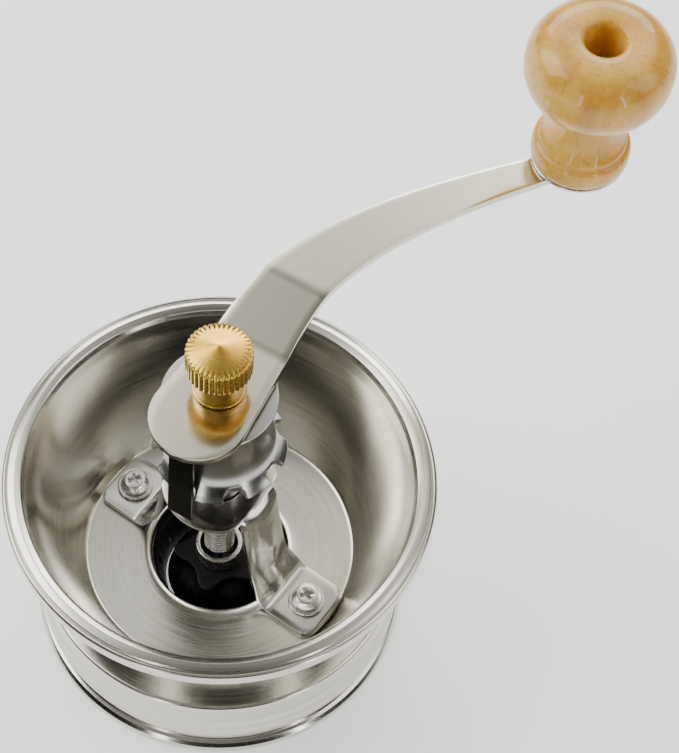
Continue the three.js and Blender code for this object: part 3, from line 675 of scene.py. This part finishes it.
def makeBell():
    bottom, top = low("adjusting_bell")[2], high("adjusting_bell")[2]
    waist, sheet, tooth = bell["waist"], bell["sheet"], bell["tooth"]
    outside = flowing([(waist, bottom + 13), (waist + 0.15, bottom + 9.5), (waist + 0.6, bottom + 6.5),
                       (waist + 1.4, bottom + 4.2), (waist + 2.7, bottom + 2.5), (tooth, bottom + 1.1)], 7)
    inside = flowing([(tooth - 0.5, bottom), (waist + 1.9, bottom + 1.5), (waist + 0.5, bottom + 3.4),
                      (waist - 0.4, bottom + 6), (waist - 0.95, bottom + 9.5),
                      (waist - sheet, bottom + 13)], 7)
    cap = rounded([(4.2, top - sheet), (4.2, top), (waist, top, 0.7)], closed=False)[:2]
    shoulder = rounded([(4.2, top), (waist, top, 0.7), (waist, bottom + 13)], closed=False)[1:-1]
    outline = cap + shoulder + outside + inside + [Vector((waist - sheet, top - sheet))]
    made = makeObject("adjusting-bell", spun(outline, 144))
    notches = []
    for k in range(bell["teeth"]):
        notch = bmesh.new()
        bmesh.ops.create_cube(notch, size=1)
        bmesh.ops.scale(notch, verts=notch.verts, vec=(6 * mm, bell["notchInside"] * mm, 5 * mm))
        for vert in notch.verts:
            if vert.co.x > 0:
                vert.co.y *= bell["notchOutside"] / bell["notchInside"]
        upright = [edge for edge in notch.edges
                   if abs(edge.verts[0].co.z - edge.verts[1].co.z) > mm and edge.verts[0].co.x < 0]
        bmesh.ops.bevel(notch, geom=upright, offset=bell["notchCorner"] * mm, affect="EDGES", segments=4,
                        profile=0.5, material=-1)
        turn = radians(bell["turn"] + 360 / bell["teeth"] * (k + 0.5))
        bmesh.ops.translate(notch, verts=notch.verts, vec=((bell["root"] + 3) * mm, 0, (bottom + 1.5) * mm))
        bmesh.ops.rotate(notch, verts=notch.verts, cent=(0, 0, 0), matrix=Matrix.Rotation(turn, 3, "Z"))
        notches.append(notch)
    carve(made, *notches)
    soften(made, 0.16)
    show(made, "adjusting_bell", mirrorSteel)


clip = dict(turn=58, half=3.1, thickness=0.8, top=15.4, foot=17.2)


def makeClip():
    bottom, top = low("lock_clip")[2], high("lock_clip")[2]
    side = [(clip["foot"], bottom), (clip["top"], top, 1.2)]
    path = rounded([(-u, *rest) for u, *rest in side] + side[::-1], closed=False)
    hub = 6.4

    def halfWidth(u):
        return max(clip["half"], sqrt(max(hub ** 2 - u ** 2, 0)))

    made = makeObject("lock-clip", strap(dense(path, 0.6), halfWidth, 4))
    thicken(made, clip["thickness"])
    carve(made, rod(4.2, top - 3, top + 3))
    made.data.transform(Matrix.Rotation(radians(clip["turn"]), 4, "Z"))
    soften(made, 0.14)
    show(made, "lock_clip", clipSteel)


def bezier(points, t):
    a, b, c, d = points
    place = a * (1 - t) ** 3 + b * (3 * t * (1 - t) ** 2) + c * (3 * t * t * (1 - t)) + d * t ** 3
    run = (b - a) * (3 * (1 - t) ** 2) + (c - b) * (6 * t * (1 - t)) + (d - c) * (3 * t * t)
    return place, run.normalized()


arm = dict(turn=36.1, hub=21.9, reach=102.6, hubHalf=10.2, endHalf=3.3, tail=10.9, tailReach=8.5,
           fold=13.8, secondFold=29.5, rise=5.5, fall=2.1, eye=7, thickness=2, bend=1.6)


# The arm lies flat over the hub, folds up, then bows back to the knob and sinks a little.
def makeArm():
    size = arm
    hub = Vector((cos(radians(size["hub"])), sin(radians(size["hub"]))))
    fold = hub * size["fold"]
    end = Vector((size["reach"], 0))
    bow = [fold, fold + hub * size["reach"] * 0.29,
           end + Vector((cos(radians(165)), sin(radians(165)))) * size["reach"] * 0.34, end]
    hubTop = low("crank_arm")[2] + size["thickness"]
    tailEnd = size["tailReach"] + size["tail"]
    bowLength = 92.0
    lastStation = size["fold"] + bowLength + size["eye"]

    def centre(s):
        if s <= size["fold"]:
            return hub * s, hub
        t = (s - size["fold"]) / bowLength
        if t < 1:
            return bezier(bow, t)
        run = bezier(bow, 1)[1]
        return end + run * (s - size["fold"] - bowLength), run

    def halfWidth(s):
        if s < -size["tailReach"]:
            return sqrt(max(size["tail"] ** 2 - (s + size["tailReach"]) ** 2, 0))
        past = s - size["fold"] - bowLength
        place = centre(min(s, size["fold"] + bowLength))[0]
        taper = max(0, 1 - place.length / size["reach"]) ** 1.35
        width = size["endHalf"] + (size["hubHalf"] - size["endHalf"]) * taper
        if s < 0:
            share = -s / size["tailReach"]
            width = size["hubHalf"] + (size["tail"] - size["hubHalf"]) * share * share * (3 - 2 * share)
        eye = sqrt(max(size["eye"] ** 2 - past ** 2, 0))
        return eye if past > 0 else max(width, eye)

    # A fold is a straight ramp with its two corners eased over the bend.
    def ease(u, corner):
        reach = size["bend"] * 2
        past = min(max(u - corner + reach / 2, 0), reach)
        return past ** 2 / (2 * reach) + max(u - corner - reach / 2, 0)

    slope = size["rise"] / (size["secondFold"] - size["fold"])
    levelFrom = size["reach"] - 12
    points = [k * 0.5 for k in range(round(-tailEnd * 2), round(lastStation * 2) + 1)]
    stations = [(s, 0) for s in points]
    shape = strap([Vector(station) for station in stations], halfWidth, 8)
    for vert in shape.verts:
        s, across = vert.co.x / mm, vert.co.y / mm
        place, run = centre(s)
        spot = place + Vector((-run.y, run.x)) * across
        u = spot.dot(hub)
        ramp = slope * (ease(u, size["fold"]) - ease(u, size["secondFold"]))
        along = min(max((place.length - size["secondFold"]) / (levelFrom - size["secondFold"]), 0), 1)
        vert.co = Vector((spot.x, spot.y, hubTop + ramp - size["fall"] * along ** 2)) * mm
    bmesh.ops.recalc_face_normals(shape, faces=shape.faces)
    if sum(face.normal.z for face in shape.faces) < 0:
        bmesh.ops.reverse_faces(shape, faces=shape.faces)
    made = makeObject("crank-arm", shape)
    thicken(made, size["thickness"])
    carve(made, rod(4.2, hubTop - 4, hubTop + 4), rod(2.3, hubTop - 5, hubTop + 9, end, 32))
    made.data.transform(Matrix.Rotation(radians(size["turn"]), 4, "Z"))
    soften(made, 0.3, 3)
    show(made, "crank_arm", armSteel)


makeBell()
makeClip()
makeArm()
print("bell, clip and arm made")


thumb = dict(radius=7.35, neck=5.8, flutes=36, depth=0.45, headTop=high("thumb_nut")[2] - 2.05,
             headBottom=high("thumb_nut")[2] - 9)


def makeThumbNut():
    bottom, top = low("thumb_nut")[2], high("thumb_nut")[2]
    neck, radius = thumb["neck"], thumb["radius"]
    headTop, headBottom = thumb["headTop"], thumb["headBottom"]
    outline = rounded([(0, top - 4), (4.2, top - 4), (4.2, bottom), (neck + 0.2, bottom, 0.15),
                       (neck + 0.2, bottom + 0.7, 0.15), (neck - 0.4, bottom + 0.85),
                       (neck - 0.4, bottom + 1.15),
                       (neck, bottom + 1.3, 0.1), (neck, headBottom, 0.2), (radius - 0.5, headBottom, 0.1),
                       (radius, headBottom + 0.5, 0.1), (radius, headTop - 0.5, 0.1),
                       (radius - 0.35, headTop, 0.1),
                       (radius - 0.95, headTop + 0.2), (0.3, top - 0.02, 0.15), (0, top)], closed=False)
    shape = spun(dense(outline, 1.6), thumb["flutes"] * 8)
    for vert in shape.verts:
        z = vert.co.z / mm
        reach = hypot(vert.co.x, vert.co.y) / mm
        if reach < radius - 0.9 or z < headBottom:
            continue
        flute = abs(sin(atan2(vert.co.y, vert.co.x) * thumb["flutes"] / 2)) ** 0.7
        factor = 1 - thumb["depth"] * (1 - flute) / reach
        vert.co.x *= factor
        vert.co.y *= factor
    show(makeObject("thumb-nut", shape), "thumb_nut", brass)


knob = dict(bore=2.4, wellRadius=4.5, wellDepth=13)


# Base, neck and ball, as heights over the knob's foot.
def makeKnob():
    bottom, top = low("crank_knob")[2], high("crank_knob")[2]
    tall = top - bottom
    base = flowing([(10.6, 0), (11.2, 0.8), (11.4, 2.2), (11.35, 3.8), (11.0, 5.2), (10.1, 6.0)])
    neckLine = flowing([(10.0, 6.3), (10.0, 7.2), (9.2, 8.3), (8.1, 10.8), (7.6, 14.0), (7.65, 16.5),
                        (8.3, 18.6), (10.0, 20.4), (12.5, 22.2), (14.9, 24.9), (16.2, 28.2),
                        (16.5, 31.3), (16.1, 34.3), (14.6, 37.1), (12.1, 39.0), (9.1, 39.7),
                        (6.2, 39.6), (5.0, 39.2), (4.5, 38.3)])
    well = tall - knob["wellDepth"]
    outline = [Vector((knob["bore"], 0))] + base + neckLine
    outline += [Vector((knob["wellRadius"], well)), Vector((knob["bore"], well))]
    shape = spun([(r, bottom + z) for r, z in outline], 128, knobCentre)
    show(makeObject("crank-knob", shape), "crank_knob", wood, 50)


makeThumbNut()
makeKnob()
print("nut and knob made")

carried = {"outer_burr": burrIron, "burr_nut": fastenerSteel, "knob_nut": fastenerSteel,
           "bridge_nut_left": fastenerSteel, "bridge_nut_right": fastenerSteel}
for nodeName, nodeFinish in carried.items():
    slots = frame["nodes"][nodeName].data.materials
    slots.clear()
    slots.append(nodeFinish)


studio = dict(floor=(0.97, 0.97, 0.97, 1), glow=0.6, key=13.0, fill=4.0, rim=9.0, strip=0.9)
room = dict(bands=[(0.0, 0.3), (0.12, 0.02), (0.50, 0.03), (0.68, 1.1), (0.85, 1.7), (1.0, 0.8)],
            patches=1.9, dim=0.4, bright=1.2, front=0.22, back=0.7)


def makeFloor():
    shape = bmesh.new()
    bmesh.ops.create_grid(shape, x_segments=1, y_segments=1, size=3)
    floor = makeObject("floor", shape)
    paint = Finish("floor paint")
    pale = paint.done(Base_Color=studio["floor"], Roughness=0.8, Emission_Color=studio["floor"],
                      Emission_Strength=studio["glow"])
    floor.data.materials.append(pale)


def makeLamp(name, place, size, power, target=(0, 0, 0.05)):
    lamp = bpy.data.lights.new(name, "AREA")
    lamp.shape = "RECTANGLE"
    lamp.size, lamp.size_y = size
    lamp.energy = power
    made = bpy.data.objects.new(name, lamp)
    made.location = place
    made.rotation_euler = (Vector(target) - Vector(place)).to_track_quat("-Z", "Y").to_euler()
    bpy.context.scene.collection.objects.link(made)


lookout = dict(place=(0, -232.4, 477.6), tilt=31.68, focal=98.24, sensor=36, shift=0.1596)


def makeCamera():
    lens = bpy.data.cameras.new("camera")
    lens.lens = lookout["focal"]
    lens.sensor_width = lookout["sensor"]
    lens.shift_x = lookout["shift"]
    made = bpy.data.objects.new("camera", lens)
    made.location = Vector(lookout["place"]) * mm
    made.rotation_euler = (radians(lookout["tilt"]), 0, 0)
    bpy.context.scene.collection.objects.link(made)
    bpy.context.scene.camera = made


# The room is dark round the horizon, brightest in a band high up and brighter behind than in front.
# It is patchy too, so that steel has something to mirror.
def makeRoom():
    sky = Finish("room", world=True)
    bpy.context.scene.world = sky.material
    place = sky.node("TexCoord", out="Generated")
    stops = [(height, (tone, tone * 0.99, tone * 0.965)) for height, tone in room["bands"]]
    depth, height = sky.split(place)[1:]
    color = sky.node("ValToRGB", {"stops": stops}, {"Fac": height})
    patches = sky.span(sky.noise(place, room["patches"], 0), room["dim"], room["bright"], 0.38, 0.62)
    backward = sky.span(depth, room["front"], room["front"] + room["back"] * 2, -0.2, 0.6)
    glow = sky.node("Background", None, {"Color": color, "Strength": patches * backward})
    sky.node("OutputWorld", None, {"Surface": glow})


makeFloor()
makeRoom()
makeCamera()
makeLamp("left window", (-0.9, 0.3, 0.9), (0.9, 0.9), studio["key"])
makeLamp("right window", (0.9, -0.2, 0.8), (0.6, 0.9), studio["fill"])
makeLamp("back strip", (0.1, 1.0, 0.7), (1.2, 0.35), studio["rim"])
makeLamp("left strip", (-0.35, -0.7, 0.25), (0.07, 0.6), studio["strip"])
makeLamp("right strip", (0.45, -0.6, 0.3), (0.05, 0.6), studio["strip"])
print("studio made")
